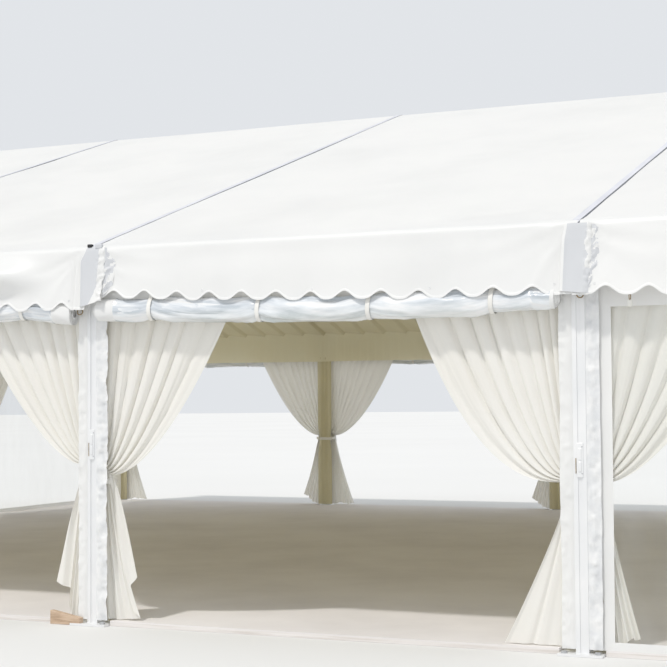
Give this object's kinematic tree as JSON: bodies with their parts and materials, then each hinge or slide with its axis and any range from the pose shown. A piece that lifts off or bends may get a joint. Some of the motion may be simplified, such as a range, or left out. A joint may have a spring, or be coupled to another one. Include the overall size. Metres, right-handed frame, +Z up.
{
  "type": "frame marquee tent",
  "caption": "White frame marquee with a pitched roof, scalloped valances, rolled-up clear side walls, clear window walls, swagged drapes on its legs, a lining and a boarded floor.",
  "frame": {"origin": "middle of the footprint at ground level, straight under the middle of the ridge", "axes": "+X along the ridge towards the closed bay, -Y out through the pictured long side, +Z up"},
  "size_m": [12.24, 10.2052, 3.8946],
  "materials": {
    "aluminium": "satin anodised extrusion",
    "white_pvc": "satin white coated fabric",
    "clear_film": "clear flexible vinyl, slightly rippled",
    "rolled_film": "clear vinyl in a roll, milky and creased",
    "ivory_drape": "soft woven ivory cloth",
    "ivory_lining": "pleated ivory lining cloth",
    "floor_carpet": "pale ribbed carpet on boards"
  },
  "bodies": {
    "root": {"leg_front_1": "aluminium", "leg_front_2": "aluminium", "leg_front_3": "aluminium", "leg_front_4": "aluminium", "leg_front_5": "aluminium", "leg_back_1": "aluminium", "leg_back_2": "aluminium", "leg_back_3": "aluminium", "leg_back_4": "aluminium", "leg_back_5": "aluminium", "rafters_1": "aluminium", "rafters_2": "aluminium", "rafters_3": "aluminium", "rafters_4": "aluminium", "rafters_5": "aluminium", "eaves_rail_front": "aluminium", "eaves_rail_back": "aluminium", "ridge_rail": "aluminium", "gable_frame_left": "aluminium", "gable_frame_right": "aluminium", "roof_sheet_1": "white_pvc", "roof_sheet_2": "white_pvc", "roof_sheet_3": "white_pvc", "roof_sheet_4": "white_pvc", "gable_panel_left": "white_pvc", "gable_panel_right": "white_pvc", "window_wall_front": "white_pvc", "window_wall_back": "white_pvc", "gable_wall_left": "white_pvc", "gable_wall_right": "white_pvc", "window_film_front": "clear_film", "window_film_back": "clear_film", "gable_film_left": "clear_film", "gable_film_right": "clear_film", "rolled_wall_front_1": "rolled_film", "rolled_wall_front_2": "rolled_film", "rolled_wall_front_3": "rolled_film", "rolled_wall_back_1": "rolled_film", "rolled_wall_back_2": "rolled_film", "rolled_wall_back_3": "rolled_film", "drape_front_1": "ivory_drape", "drape_front_2": "ivory_drape", "drape_front_3": "ivory_drape", "drape_front_4": "ivory_drape", "drape_front_5": "ivory_drape", "drape_back_1": "ivory_drape", "drape_back_2": "ivory_drape", "drape_back_3": "ivory_drape", "drape_back_4": "ivory_drape", "drape_back_5": "ivory_drape", "gable_drapes_left": "ivory_drape", "gable_drapes_right": "ivory_drape", "roof_lining": "ivory_lining", "floor": "floor_carpet"}
  },
  "joints": []
}
